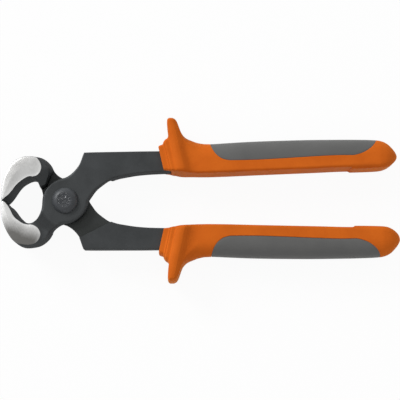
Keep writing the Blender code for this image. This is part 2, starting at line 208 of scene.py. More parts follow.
def grainGroup():     # fine skin of a forging or a moulding: small pits, and a slow change of tone
    tree, source, sink = newGroup("surfaceGrain", {"Grain size": 400.0, "Patch size": 60.0},
                                  ("Height", "Tone"))
    fine = addNoise(tree, source.outputs["Vector"], source.outputs["Grain size"], 4.0, 0.65)
    patch = addNoise(tree, source.outputs["Vector"], source.outputs["Patch size"], 3.0, 0.55)
    tree.links.new(fine, sink.inputs["Height"])
    tree.links.new(addMath(tree, "ADD", patch, addMath(tree, "MULTIPLY", fine, 0.35)), sink.inputs["Tone"])
    return tree


def wearGroup():     # rubbed edges: a mask from how far a point lies from its edge, broken up by noise
    tree, source, sink = newGroup("rubbedEdge", {"Distance": 1.0, "Width": 0.2, "Breakup": 900.0}, ("Mask",))
    broken = addNoise(tree, source.outputs["Vector"], source.outputs["Breakup"], 3.0)
    near = addMath(tree, "MULTIPLY", source.outputs["Width"], broken)
    tree.links.new(spread(tree, source.outputs["Distance"], 0.0, near, 1.0, 0.0), sink.inputs["Mask"])
    return tree


surfaceGrain = grainGroup()
rubbedEdge = wearGroup()
toneSpan, roughSpan = (0.45, 0.85), (0.4, 0.9)     # grain tones over which colour and roughness change


def newMaterial(name, shaderValues):
    material = bpy.data.materials.new(name)
    material.use_nodes = True
    tree = material.node_tree
    shader = tree.nodes["Principled BSDF"]
    for key, value in shaderValues.items():
        shader.inputs[key].default_value = value
    place = addNode(tree, "ShaderNodeTexCoord").outputs["Object"]
    return material, tree, shader, place


def addGrain(tree, place, grainSize, patchSize):
    return addNode(tree, "ShaderNodeGroup", {"Vector": place, "Grain size": grainSize,
                                            "Patch size": patchSize}, node_tree=surfaceGrain)


def grainColour(tree, grain, colours):
    return toneRamp(tree, grain.outputs["Tone"], *toneSpan, *colours)


def grainRoughness(tree, grain, roughness):
    return spread(tree, grain.outputs["Tone"], *roughSpan, *roughness)


def finishShader(tree, shader, colour, roughness, height, bump):
    strength, distance = bump
    relief = addNode(tree, "ShaderNodeBump", {"Height": height, "Strength": strength, "Distance": distance})
    tree.links.new(colour, shader.inputs["Base Color"])
    tree.links.new(roughness, shader.inputs["Roughness"])
    tree.links.new(relief.outputs["Normal"], shader.inputs["Normal"])


# Levers
lever = {
    "jawHalf": 9.99, "armHalf": 4.5, "lapGap": 0.15,      # half widths and the gap at the lap joint, mm
    "bossRadius": 11.55, "holeRadius": 4.3,
    # faces round the boss, from which angle, and which of them the arm and the jaw grow from
    "sectors": 144, "firstAngle": -2.0, "armSectors": (0, 40), "jawSectors": (72, 108),
    "bossRows": 12, "rowSteps": 4, "tangSteps": 3,        # rows of faces: in the boss, and for each table row
    "bossCrowd": 1.6, "armCrowd": 0.75, "jawCrowd": 0.6,  # how much the faces crowd towards the edges
    "crowdStart": 0.3,                                    # share of the arm or jaw over which that sets in
    "arcFade": (20.0, 26.0),                              # radii where rows change from arcs to straight
    "faceRamp": (12.0, 19.0),                             # radii where the neck rises to the jaw's side face
    # straight walls of the recess on the lap side: the direction in which each rises, in degrees, and how
    # far from the rivet's axis its foot and its top lie
    "armWalls": [(63.8, 19.3, 20.2)], "jawWalls": [(201.7, 11.85, 12.45), (240.0, 11.6, 12.3)],
    "edgeRound": 0.55, "bossRound": 1.25, "bossRoundFade": (12.0, 22.0), "leastRound": 0.02,
    "lapRound": 0.12, "lapFade": (-0.1, 2.0),             # rounding at the lap, depths where it grows to full
    "biteStart": -20.0, "biteFade": (0.3, 5.0),           # where the cutting edge loses its rounding
    # outlines seen from the front, X and Y in mm from the rivet's axis; a row pairs one point of each side
    "armOuter": [(0.0, 11.95), (1.1, 12.5), (2.2, 13.2), (3.5, 14.25), (4.85, 15.6), (6.15, 17.15),
                 (7.2, 18.8), (7.98, 20.7), (8.58, 22.5), (9.4, 24.6), (13.5, 24.7), (19.0, 24.75),
                 (28.0, 24.82), (38.0, 24.9), (47.6, 24.9)],
    "armCorner": 10,                                      # the sharp corner, counted from the boss
    "armInner": [(12.1, 0.6), (12.85, 1.7), (13.85, 3.2), (14.95, 4.7), (16.25, 6.1), (17.7, 7.3),
                 (19.2, 8.45), (20.8, 9.6), (22.5, 10.55), (24.3, 11.3), (26.8, 12.05), (29.7, 12.6),
                 (35.0, 13.5), (41.5, 14.12), (50.0, 14.45)],
    # place along X, outer edge, inner edge, half thickness
    "tang": [(51.7, 24.9, 14.5, 4.5), (52.1, 23.8, 17.7, 2.5), (80.0, 24.4, 18.4, 2.5),
             (115.0, 24.9, 19.6, 2.4), (148.0, 24.6, 19.9, 2.3)],
    "jawEye": [(-11.85, -3.7), (-12.35, -5.8), (-12.85, -7.6), (-13.4, -9.0), (-14.15, -10.3),
               (-15.4, -11.35), (-17.3, -11.8), (-19.1, -11.25), (-21.0, -10.2), (-22.9, -8.8), (-24.8, -6.7),
               (-26.6, -4.15), (-28.3, -2.1), (-29.6, -0.9), (-30.3, -0.15)],
    "jawBack": [(-2.3, -12.3), (-3.7, -13.15), (-4.85, -14.1), (-5.8, -15.2), (-6.5, -16.4), (-7.3, -18.1),
                (-8.95, -20.2), (-12.2, -22.5), (-16.0, -23.45), (-20.4, -23.45), (-24.5, -21.3),
                (-27.8, -16.9), (-30.0, -12.0), (-31.25, -6.1), (-31.0, -0.15)],
    # row by row: slope of the eye's wall, and how far the outer wall draws in towards the lap side's face
    "jawDraft": [(0, 0.0, 0.0), (3, 0.0, 0.0), (4, 0.0, 0.9), (5, 0.0, 1.6), (6, 0.1, 1.95), (7, 0.25, 1.95),
                 (8, 0.45, 1.9), (9, 0.6, 1.9), (10, 0.65, 2.0), (11, 0.6, 1.5), (12, 0.45, 0.8),
                 (13, 0.2, 0.6), (14, 0.0, 0.25), (15, 0.0, 0.0)],
    "otherSide": 0.3, "drawPower": 1.1,                   # share of it on the other side, its curve in height
    "wallHeights": (0.0, 0.03, 0.2, 0.5, 0.8, 0.97, 1.0),     # rows of faces up the walls, as shares
    # ground pads on the front and the back of the jaw
    "padFront": [(-32.0, -0.5), (-29.1, -1.5), (-26.9, -4.6), (-24.5, -8.9), (-22.3, -10.7), (-20.1, -12.1),
                 (-17.8, -12.7), (-15.6, -12.8), (-13.4, -13.9), (-12.0, -15.6), (-11.4, -17.6),
                 (-12.15, -20.0), (-13.7, -21.8), (-15.8, -22.55), (-18.2, -22.7), (-20.2, -22.45),
                 (-22.4, -22.0), (-25.2, -20.6), (-28.0, -17.6), (-31.5, -14.0), (-33.5, -6.0)],
    "padBack": [(-32.0, -0.2), (-27.9, -0.9), (-25.5, -5.0), (-22.5, -8.5), (-19.6, -10.7), (-16.6, -11.4),
                (-13.6, -12.3), (-12.1, -13.9), (-11.5, -16.5), (-12.5, -19.3), (-14.2, -21.4),
                (-16.5, -23.6), (-22.0, -25.0), (-30.0, -20.0), (-33.5, -8.0)],
    "padCrown": 0.55, "padReach": 6.5,                    # how far the pad's border lies below its middle
    "padStep": 0.5, "padStepWidth": 0.7,                  # fall of the forging just outside the pad
    "padInset": 0.12,                                     # a pad ends at least this far inside the outline
    "padFade": (4.6, 9.5),                                # half widths between which the pad's fall sets in
    # painted light and shade on a pad: its level at this place, changing along X and Y by so much in a metre
    "frontPadLight": ((-0.0900, -0.0146, 0.0), 0.50, (30.0, 80.0, 0.0)),
    "backPadLight": ((-0.0878, 0.0156, 0.0), 0.68, (20.0, -20.0, 0.0)),
    "rubbedLine": 0.25,                                   # how far inside the outline the edge is rubbed most
    "recessShadeFade": (-1.5, 0.1), "sharpAngle": 32.0,        # heights over which the floor of the recess takes its painted shade
    # finish: noise cells in a metre for grain and patches, colours from dark to light
    "shader": {"Specular IOR Level": 0.3, "Specular Tint": (0.3, 0.3, 0.3, 1.0)},
    "grain": (1400.0, 90.0), "bump": (0.35, 0.00006),
    "satin": ((0.057, 0.0605, 0.0622), (0.073, 0.0775, 0.080)), "satinRoughness": (0.50, 0.60),
    # painted shade: darker colours for the floor of the recess
    "skin": ((0.050, 0.053, 0.052), (0.066, 0.070, 0.069)),
    "rubbed": ((0.07, 0.073, 0.076), (0.10, 0.104, 0.108)), "rubbedWidth": 0.5, "rubbedShare": 0.35,
    "ground": ((0.22, 0.215, 0.205), (0.95, 0.95, 0.94)), "groundRoughness": (0.30, 0.42),
    "padLightSpan": (0.22, 0.89), "borderHighlight": (1.6, 0.14),     # painted highlight along a pad's border: its width and how much it gains
    "cloudSize": 150.0, "cloudShare": 0.30, "raggedSize": 1100.0, "raggedBy": 0.16, "borderBlur": 0.06,
    "marks": {"Scale": (9000.0, 700.0, 700.0), "Rotation": (0.0, 0.0, 0.5)},     # grinding marks on the pads
    "metal": (0.8, 1.0),                                  # how metallic the satin and the ground steel are
}
lean = {"share": 0.2235, "fade": (-6.0, 4.0), "centre": 21.0}     # slope of the sleeve's mouth across the arm


def leaning(place, y):
    fade = 1.0 - ease(place, *lean["fade"])
    return place - lean["share"] * fade * (y - lean["centre"]) - pivot.x


def acrossLever(first, last, share):
    # on an arc about the pivot near it, on a straight line far from it
    first, last = Vector(first), Vector(last)
    angleA, angleB = math.atan2(first.y, first.x), math.atan2(last.y, last.x)
    if angleB < angleA:
        angleB += math.tau
    onArc = polar(blend(first.length, last.length, share), math.degrees(blend(angleA, angleB, share)))
    onLine = first.lerp(last, share)
    return onLine.lerp(onArc, 1.0 - ease((first.length + last.length) / 2.0, *lever["arcFade"]))


def wallShare(point, walls):     # 0 on the floor of the recess, 1 at full thickness
    share = 1.0
    for direction, start, end in walls:
        share *= min(1.0, max(0.0, (point.dot(polar(1.0, direction)) - start) / (end - start)))
    return share


kept = ("top", "draftX", "draftY", "insetX", "insetY")     # what each corner of the flat grid carries
noDraft = Vector((0.0, 0.0))


def floatLayer(bm, key):
    return bm.verts.layers.float.get(key) or bm.verts.layers.float.new(key)


def bentGrid(bm, rows, columns, shape):
    # a flat grid whose corners are moved to where shape says, and which carries what else shape gives
    layers = [floatLayer(bm, key) for key in kept]
    for vert in bmesh.ops.create_grid(bm, x_segments=rows, y_segments=columns, size=0.5)["verts"]:
        point, top, draft, inset = shape(vert.co.x + 0.5, vert.co.y + 0.5)
        vert.co = (point.x, point.y, 0.0)
        for layer, value in zip(layers, (top, draft.x, draft.y, inset.x, inset.y)):
            vert[layer] = value


def bossShape(along, across):
    radius = blend(lever["holeRadius"], lever["bossRadius"], 1.0 - (1.0 - along) ** lever["bossCrowd"])
    point = polar(radius, lever["firstAngle"] + 360.0 * across)
    return point, lever["armHalf"], noDraft, noDraft


def rimPoint(sector):
    return polar(lever["bossRadius"], lever["firstAngle"] + sector * 360.0 / lever["sectors"])


armOuter = [rimPoint(lever["armSectors"][1])] + lever["armOuter"]
armInner = [rimPoint(lever["armSectors"][0])] + lever["armInner"]
jawEye = [rimPoint(lever["jawSectors"][0])] + lever["jawEye"]
jawBack = [rimPoint(lever["jawSectors"][1])] + lever["jawBack"]


def armShape(along, across):
    place = along * (len(armOuter) - 1)
    inner = alongCurve(armInner, place)
    outer = alongCurve(armOuter, place, (lever["armCorner"],))
    crowding = lever["armCrowd"] * ease(along, 0.0, lever["crowdStart"])
    return acrossLever(inner, outer, crowd(across, crowding)), lever["armHalf"], noDraft, noDraft


def tangShape(along, across):
    place = along * len(lever["tang"])
    i = max(0, min(math.ceil(place) - 1, len(lever["tang"]) - 1))
    across = crowd(across, lever["armCrowd"])

    def rowPoint(row):
        y = blend(row[2], row[1], across)
        return Vector((leaning(row[0] + pivot.x, y), y))

    row = lever["tang"][i]
    before = lever["tang"][i - 1] if i else row
    start = rowPoint(before) if i else acrossLever(armInner[-1], armOuter[-1], across)
    half = blend(before[3], row[3], place - i)
    return start.lerp(rowPoint(row), place - i), half, noDraft, noDraft


def jawShape(along, across):
    place = along * (len(jawEye) - 1)
    eye, back = alongCurve(jawEye, place), alongCurve(jawBack, place)
    share = crowd(across, lever["jawCrowd"] * ease(along, 0.0, lever["crowdStart"]))
    point = acrossLever(eye, back, share)
    top = blend(lever["armHalf"], lever["jawHalf"], ease(point.length, *lever["faceRamp"]))
    slope, drawnIn = rowAt(lever["jawDraft"], place)
    outward = (back - eye).normalized()
    return point, top, outward * slope * (1.0 - share), -outward * drawnIn * share ** 2


def outlineDistance(points, starts, ends):
    # shortest distance in plan from each point to a set of straight edges
    runs = ends - starts
    squares = np.maximum((runs * runs).sum(1), 1e-12)
    gaps = points[:, None, :] - starts[None, :, :]
    shares = np.clip((gaps * runs[None, :, :]).sum(2) / squares[None, :], 0.0, 1.0)
    return np.sqrt(((gaps - shares[:, :, None] * runs[None, :, :]) ** 2).sum(2).min(1))


def padDistance(points, outline):
    # distance inside (positive) or outside (negative) the smooth closed outline of a pad
    ring = [outline[-1]] + outline + outline[:2]
    steps = 6
    curve = np.array([alongCurve(ring, 1 + i / steps) for i in range(steps * len(outline))])
    following = np.roll(curve, -1, axis=0)
    distance = outlineDistance(points, curve, following)
    x, y = points[:, :1], points[:, 1:]
    crosses = (curve[None, :, 1] > y) != (following[None, :, 1] > y)
    rise = np.where(following[:, 1] == curve[:, 1], 1e-9, following[:, 1] - curve[:, 1])
    crossX = curve[:, 0] + (y - curve[None, :, 1]) * (following[:, 0] - curve[:, 0]) / rise
    inside = (crosses & (x < crossX)).sum(1) % 2 == 1
    return np.where(inside, distance, -distance)


def roundDrop(distance, radius):
    short = max(0.0, radius - distance)
    return radius - math.sqrt(max(0.0, radius * radius - short * short))


def padDrop(distance):
    inside = 1.0 - min(1.0, max(0.0, distance) / lever["padReach"])
    outside = 1.0 - math.exp(min(0.0, distance) / lever["padStepWidth"])
    return lever["padCrown"] * inside ** 2 + lever["padStep"] * outside


def buildLever(node, turned, material, body):
    bm = bmesh.new()
    steps = lever["rowSteps"]
    armColumns, jawColumns = (lever[key][1] - lever[key][0] for key in ("armSectors", "jawSectors"))
    bentGrid(bm, lever["bossRows"], lever["sectors"], bossShape)
    bentGrid(bm, steps * (len(armOuter) - 1), armColumns, armShape)
    bentGrid(bm, lever["tangSteps"] * len(lever["tang"]), armColumns, tangShape)
    bentGrid(bm, steps * (len(jawEye) - 1), jawColumns, jawShape)
    bmesh.ops.remove_doubles(bm, verts=bm.verts, dist=mergeDistance)
    for direction, *distances in lever["armWalls"] + lever["jawWalls"]:     # clean borders for the recess
        facing = polar(1.0, direction).to_3d()
        for distance in distances:
            bmesh.ops.bisect_plane(bm, geom=bm.verts[:] + bm.edges[:] + bm.faces[:], dist=cutDistance,
                                   plane_co=facing * distance, plane_no=facing)
    points = np.array([vert.co.xy[:] for vert in bm.verts])
    rim = [edge for edge in bm.edges
           if edge.is_boundary and edge.verts[0].co.xy.length > lever["holeRadius"] + 0.1]
    starts, ends = (np.array([edge.verts[i].co.xy[:] for edge in rim]) for i in (0, 1))
    layer = {key: floatLayer(bm, key) for key in kept + ("edge", "padFront", "padBack", "level")}
    drafts = np.array([(vert[layer["draftX"]], vert[layer["draftY"]]) for vert in bm.verts])
    insets = np.array([(vert[layer["insetX"]], vert[layer["insetY"]]) for vert in bm.verts])
    measured = (outlineDistance(points, starts, ends),
                padDistance(points + drafts + lever["otherSide"] * insets, lever["padFront"]),
                padDistance(points - drafts + insets, lever["padBack"]))
    padInset = lever["padInset"]
    for vert, edge, front, back in zip(bm.verts, *measured):
        vert[layer["edge"]] = edge
        vert[layer["padFront"]] = min(front, edge - padInset)
        vert[layer["padBack"]] = min(back, edge - padInset)

    # the second side face, and rows up the walls between the two
    heights = lever["wallHeights"]
    made = bmesh.ops.extrude_face_region(bm, geom=bm.faces[:])["geom"]
    upper = {item for item in made if isinstance(item, bmesh.types.BMVert)}
    for vert in upper:
        vert[layer["level"]] = 1.0
    uprights = [edge for edge in bm.edges if (edge.verts[0] in upper) != (edge.verts[1] in upper)]
    bmesh.ops.subdivide_edges(bm, edges=uprights, cuts=len(heights) - 2, use_grid_fill=True)

    ground, recessShadeMask, rubbed = (bm.verts.layers.float.new(key) for key in ("ground", "recessShadeMask", "rubbed"))
    for vert in bm.verts:
        height = vert[layer["level"]]
        level = heights[round(height * (len(heights) - 1))]
        x, y, edge, top = vert.co.x, vert.co.y, vert[layer["edge"]], vert[layer["top"]]
        walls = lever["armWalls" if x > 0.0 else "jawWalls"]
        bottom = fullBottom = blend(lever["lapGap"], -top, wallShare(vert.co.xy, walls))
        sharpen = ease(abs(y), *lever["biteFade"]) if x < lever["biteStart"] else 1.0
        softness = ease(math.hypot(x, y), *lever["bossRoundFade"])
        radius = max(lever["leastRound"], blend(lever["bossRound"], lever["edgeRound"], softness) * sharpen)
        lapped = ease(-bottom, *lever["lapFade"])
        bottomRadius = max(lever["leastRound"], blend(lever["lapRound"], radius, lapped))
        if x < 0.0:
            top -= padDrop(vert[layer["padFront"]] + padInset) * ease(top, *lever["padFade"])
            bottom += padDrop(vert[layer["padBack"]] + padInset) * ease(-bottom, *lever["padFade"])
        top -= roundDrop(edge, radius)
        bottom += roundDrop(edge, bottomRadius)
        vert.co.z = blend(bottom, top, level)
        draft = 2.0 * level - 1.0
        inset = (abs(vert.co.z) / lever["jawHalf"]) ** lever["drawPower"]
        inset *= 1.0 if vert.co.z < 0.0 else lever["otherSide"]
        vert.co.x += vert[layer["draftX"]] * draft + vert[layer["insetX"]] * inset
        vert.co.y += vert[layer["draftY"]] * draft + vert[layer["insetY"]] * inset
        # what the finish reads: way into a ground pad, depth in the recess, which gets painted shade,
        # distance from the rubbed line
        vert[ground] = -0.3
        if height > 0.99:
            vert[ground] = vert[layer["padFront"]]
        elif height < 0.01:
            vert[ground] = vert[layer["padBack"]]
        vert[recessShadeMask] = 0.0 if height > 0.01 else ease(fullBottom, *lever["recessShadeFade"])
        vert[rubbed] = abs(edge - lever["rubbedLine"])
    for key in layer:
        bm.verts.layers.float.remove(bm.verts.layers.float.get(key))
    finishPiece(node, bm, material, body, lever["sharpAngle"], turned)


def leverSteel(name, padLight):
    material, tree, shader, place = newMaterial(name, lever["shader"])
    grain = addGrain(tree, place, *lever["grain"])
    satin, skin = grainColour(tree, grain, lever["satin"]), grainColour(tree, grain, lever["skin"])
    satinWithShade = colourMix(tree, addAttribute(tree, "recessShadeMask"), satin, skin)     # painted shade: the floor of the recess is made darker than the satin
    # ground pads: grinding marks run across the jaw, with a cloudy change of tone; a painted gradient of
    # light and shade across each pad and a painted highlight along its border
    pads = addAttribute(tree, "ground")
    stretched = addNode(tree, "ShaderNodeMapping", {"Vector": place, **lever["marks"]}).outputs["Vector"]
    marks = addNoise(tree, stretched, 1.0, 3.0, 0.6)
    cloudy = addMath(tree, "ADD", addNoise(tree, place, lever["cloudSize"], 2.0), marks)
    middle, level, slope = padLight
    # painted light and shade: a straight gradient across the pad, away from its middle
    away = addNode(tree, "ShaderNodeVectorMath", {0: place, 1: middle}, operation="SUBTRACT")
    paintedGradient = addNode(tree, "ShaderNodeVectorMath", {0: away.outputs["Vector"], 1: slope},
                     operation="DOT_PRODUCT")
    share, (borderWidth, borderLight) = lever["cloudShare"], lever["borderHighlight"]
    mottled = addMath(tree, "MULTIPLY_ADD", cloudy, share, level - share)
    withBorderHighlight = addMath(tree, "ADD", mottled, spread(tree, pads, 0.0, borderWidth, borderLight, 0.0))
    padToneAndLight = addMath(tree, "ADD", paintedGradient.outputs["Value"], withBorderHighlight)
    bright = toneRamp(tree, padToneAndLight, *lever["padLightSpan"], *lever["ground"])
    ragged, blur = lever["raggedBy"], lever["borderBlur"]
    torn = addNoise(tree, place, lever["raggedSize"], 2.0)
    border = addMath(tree, "ADD", pads, addMath(tree, "MULTIPLY_ADD", torn, ragged, -ragged / 2.0))
    mask = spread(tree, border, -blur, blur, 0.0, 1.0)
    wear = addNode(tree, "ShaderNodeGroup", {"Vector": place, "Distance": addAttribute(tree, "rubbed"),
                                            "Width": lever["rubbedWidth"]}, node_tree=rubbedEdge)
    worn = spread(tree, wear.outputs["Mask"], 0.0, 1.0, 0.0, lever["rubbedShare"])
    rubbed = toneRamp(tree, grain.outputs["Tone"], *roughSpan, *lever["rubbed"])
    colour = colourMix(tree, mask, colourMix(tree, worn, satinWithShade, rubbed), bright)
    tree.links.new(spread(tree, mask, 0.0, 1.0, *lever["metal"]), shader.inputs["Metallic"])
    brightRough = spread(tree, marks, 0.3, 0.7, *lever["groundRoughness"])
    rough = valueMix(tree, mask, grainRoughness(tree, grain, lever["satinRoughness"]), brightRough)
    finishShader(tree, shader, colour, rough, valueMix(tree, mask, grain.outputs["Height"], marks),
                 lever["bump"])
    return material


# the two levers' materials differ only in the painted light and shade on their pads
frontSteel = leverSteel("front lever satin steel", lever["frontPadLight"])
buildLever("front_lever", False, frontSteel, "front_side")
backSteel = leverSteel("back lever satin steel", lever["backPadLight"])
buildLever("back_lever", True, backSteel, "back_side")
print("levers done")


# Rivet
rivet = {
    "seat": 4.7, "shankRadius": 4.0,                      # seat: half the distance between the two heads, mm
    "steps": 96, "headSteps": 4,                          # faces round the rivet, rows per point of a head
    # half outline of a head from the middle of its hammered hollow outwards: radius, height above its seat
    "head": [(0.0, 2.60), (1.6, 2.58), (2.9, 2.58), (3.5, 2.63), (3.85, 2.64), (4.25, 2.50), (5.0, 2.08),
             (5.7, 1.50), (6.2, 0.92), (6.52, 0.35), (6.55, 0.0)],
    "hollowRadius": 3.8, "hammerDepth": 0.17, "domeDepth": 0.03,     # depth of the marks in and round it
    "hammerWaves": ((0.7, 1.7), (0.8, 3.7)), "sharpAngle": 50.0,     # each wave's strength and count in a mm
    # finish: noise cells in a metre for grain and patches, colours from dark to light
    "shader": {"Specular IOR Level": 0.35}, "grain": (1600.0, 220.0), "bump": (0.5, 0.0001),
    "dome": ((0.048, 0.052, 0.057), (0.063, 0.068, 0.074)),
    "scale": ((0.030, 0.033, 0.037), (0.050, 0.054, 0.060)), "scaleFade": (0.0034, 0.0040),     # radii in m
    "spots": ((0.40, 0.41, 0.43), (0.92, 0.92, 0.93)), "spotSize": 2100.0,
    "spotSpan": (0.60, 0.68), "spotTone": (0.6, 0.72),    # parts of the noise that make and that light a spot
    "roughness": (0.38, 0.46), "metal": (0.1, 1.0),
}


def buildRivet(material):
    bm = bmesh.new()
    half = []
    for i in range(rivet["headSteps"] * (len(rivet["head"]) - 1) + 1):
        radius, height = alongCurve(rivet["head"], i / rivet["headSteps"])
        half.append((max(0.0, radius), rivet["seat"] + height))
    half += [(rivet["shankRadius"], rivet["seat"]), (rivet["shankRadius"], rivet["seat"] / 3.0)]
    profile = half + [(radius, -height) for radius, height in reversed(half)]
    corners = [bm.verts.new((radius, 0.0, height)) for radius, height in profile]
    edges = [bm.edges.new(pair) for pair in zip(corners, corners[1:])]
    bmesh.ops.spin(bm, geom=corners + edges, axis=(0.0, 0.0, 1.0), cent=(0.0, 0.0, 0.0),
                   angle=math.tau, steps=rivet["steps"], use_merge=True)
    bmesh.ops.remove_doubles(bm, verts=bm.verts, dist=mergeDistance)
    for vert in bm.verts:     # hammer marks in the hollow, and a faint unevenness on the dome
        inHollow = 1.0 - ease(vert.co.xy.length, rivet["hollowRadius"] - 0.7, rivet["hollowRadius"] + 0.2)
        onHead = ease(abs(vert.co.z), rivet["seat"] + 0.8, rivet["seat"] + 1.6)
        marks = sum(strength * noise.noise(vert.co * count) for strength, count in rivet["hammerWaves"])
        depth = blend(rivet["domeDepth"], rivet["hammerDepth"], inHollow)
        vert.co.z += math.copysign(onHead, vert.co.z) * marks * depth
    finishPiece("pivot_rivet", bm, material, "front_side", rivet["sharpAngle"])


def rivetSteel():
    material, tree, shader, place = newMaterial("darkened rivet steel", rivet["shader"])
    grain = addGrain(tree, place, *rivet["grain"])
    centred = addNode(tree, "ShaderNodeMapping", {"Vector": place, "Location": (-pivot.x * mm, 0.0, 0.0)})
    parts = addNode(tree, "ShaderNodeSeparateXYZ", {"Vector": centred.outputs["Vector"]})
    flat = addNode(tree, "ShaderNodeCombineXYZ", {0: parts.outputs[0], 1: parts.outputs[1]})
    radius = addNode(tree, "ShaderNodeVectorMath", {0: flat.outputs["Vector"]}, operation="LENGTH")
    hollow = spread(tree, radius.outputs["Value"], *rivet["scaleFade"], 1.0, 0.0)
    dome, scale = grainColour(tree, grain, rivet["dome"]), grainColour(tree, grain, rivet["scale"])
    specks = addNoise(tree, place, rivet["spotSize"], 3.0, 0.7)
    spotted = addMath(tree, "MULTIPLY", spread(tree, specks, *rivet["spotSpan"], 0.0, 1.0), hollow)
    light = toneRamp(tree, specks, *rivet["spotTone"], *rivet["spots"])
    colour = colourMix(tree, spotted, colourMix(tree, hollow, dome, scale), light)
    tree.links.new(spread(tree, spotted, 0.0, 1.0, *rivet["metal"]), shader.inputs["Metallic"])
    finishShader(tree, shader, colour, grainRoughness(tree, grain, rivet["roughness"]),
                 valueMix(tree, hollow, grain.outputs["Height"], specks), rivet["bump"])
    return material


buildRivet(rivetSteel())
print("rivet done")


# Handle sleeves and their inlays
sleeve = {
    # place along X, inner edge, outer edge, half thickness, depth of the outer rounding, inner corner
    "sections": [
        (-20.20, 15.05, 27.2, 6.95, 1.6, 0.6), (-20.00, 14.9, 27.6, 7.25, 1.7, 0.8),
        (-17.60, 14.53, 28.8, 7.38, 1.9, 0.9), (-17.10, 14.42, 29.8, 7.95, 2.0, 0.9),
        (-16.60, 14.33, 30.3, 7.92, 2.1, 0.9), (-16.10, 14.25, 30.8, 8.45, 2.1, 0.9),
        (-14.40, 13.98, 32.0, 8.55, 2.3, 1.1), (-13.90, 13.9, 33.2, 9.1, 2.4, 1.2),
        (-13.65, 13.87, 35.4, 9.3, 2.4, 1.3), (-13.30, 13.82, 37.8, 9.45, 2.4, 1.4),
        (-12.85, 13.7, 40.2, 9.65, 2.3, 1.6), (-12.20, 13.6, 41.5, 9.85, 2.2, 1.8),
        (-11.20, 13.5, 41.99, 9.99, 2.2, 2.0), (-9.90, 13.4, 41.99, 9.85, 2.2, 2.0),
        (-8.80, 13.3, 41.65, 9.3, 2.4, 1.9), (-8.00, 13.25, 40.7, 8.8, 2.6, 1.8),
        (-7.60, 13.2, 38.8, 8.5, 2.8, 1.7), (-7.30, 13.18, 36.5, 8.35, 3.0, 1.6),
        (-6.90, 13.15, 34.6, 8.1, 3.4, 1.5), (-6.10, 13.1, 33.0, 7.8, 4.2, 1.4),
        (-4.70, 13.05, 31.6, 7.55, 5.6, 1.3), (-2.90, 13.0, 30.6, 7.45, 7.2, 1.2),
        (-0.90, 13.0, 29.6, 7.5, 8.5, 1.2), (2.00, 13.0, 28.95, 7.7, 9.0, 1.2),
        (5.20, 13.05, 28.85, 7.85, 9.0, 1.2), (12.00, 13.2, 29.2, 7.9, 9.0, 1.2),
        (25.00, 13.65, 29.85, 7.9, 9.0, 1.2), (42.00, 14.2, 30.3, 7.9, 9.0, 1.2),
        (58.00, 14.7, 30.5, 7.9, 9.0, 1.2), (75.60, 15.25, 30.42, 7.9, 9.0, 1.2),
        (76.80, 14.5, 30.4, 7.9, 9.0, 2.4), (83.00, 14.6, 30.27, 7.9, 9.0, 2.4),
        (90.00, 14.85, 29.9, 7.9, 9.0, 2.4), (92.60, 15.1, 29.35, 7.6, 9.0, 2.6),
        (95.10, 15.9, 28.05, 6.9, 7.8, 2.8), (97.40, 17.4, 25.8, 5.5, 5.0, 2.2),
        (98.90, 18.9, 23.9, 3.8, 2.8, 1.4), (99.70, 20.2, 22.5, 2.1, 1.3, 0.8),
        (100.00, 21.0, 21.9, 0.9, 0.5, 0.3),
    ],
    "roundingPower": 2.3, "leastRounding": 0.3,
    # the slot that the arm enters, and the least wall beside it
    "mouthEnd": -16.5, "mouthHalf": 4.8, "mouthOuter": 25.2, "mouthWall": 0.2,
    # the pocket round the tang: place, outer, inner, half thickness
    "pocket": [(-16.5, 24.2, 17.3, 2.9), (15.0, 24.85, 18.0, 2.9), (50.0, 25.3, 19.2, 2.8),
               (80.0, 25.0, 19.5, 2.7)],
    "pocketInset": 0.5,
    "innerStep": 75.6,                                    # where the inner side steps out towards the nose
    "recessWall": 0.05, "recessGap": 0.1,                 # end wall of the inlay's recess, gap below it
    # faces round one half of the outer side up to the seam and beyond it, and in the inner corner
    "faceColumns": 14, "softColumns": 14, "cornerSteps": 6, "faceCrowd": 1.25,
    "rowSteps": 6, "finestRow": 0.12,                     # most rows between two sections, least row length
    "sharpAngle": 38.0,
    # finish: noise cells in a metre for grain and patches, colours from dark to light
    "shader": {"Specular IOR Level": 0.04, "Sheen Weight": 0.2, "Sheen Roughness": 0.4,
               "Sheen Tint": (1.0, 0.7, 0.1, 1.0)},
    "grain": (1100.0, 70.0), "colours": ((0.570, 0.112, 0.0100), (0.655, 0.137, 0.0125)),
    "roughness": (0.52, 0.62), "bump": (0.25, 0.00004),
}
inlay = {
    # border seen from the front, place along X and height
    "border": [(4.9, 28.0), (5.6, 25.9), (7.0, 23.3), (9.0, 21.2), (11.4, 19.8), (15.2, 19.1), (26.0, 19.2),
               (40.0, 19.75), (55.0, 20.55), (71.0, 21.15), (76.8, 21.1), (79.2, 21.55), (82.5, 22.75),
               (85.4, 24.6), (87.7, 26.8), (89.3, 29.3)],
    "thickness": 1.5, "gap": 0.12,
    "endShare": 0.96, "plainShare": 0.6, "fade": 6.0,     # where columns divide at its ends and beyond them
    "lip": 0.12, "endGap": 0.03, "endRound": 0.15,        # how far the soft edge dips into the seam, its ends
    "rowSteps": 5, "crowd": 1.35, "sharpAngle": 50.0,
    "shader": {"Specular IOR Level": 0.4, "Sheen Weight": 0.08, "Sheen Roughness": 0.5},
    "grain": (1500.0, 60.0), "colours": ((0.098, 0.098, 0.096), (0.118, 0.118, 0.115)),
    "roughness": (0.62, 0.74), "bump": (0.4, 0.00006),
}
inlayStart, inlayEnd = inlay["border"][0][0], inlay["border"][-1][0]
inlayRows = sorted(inlay["border"] + [(sleeve["innerStep"], 0.0)])


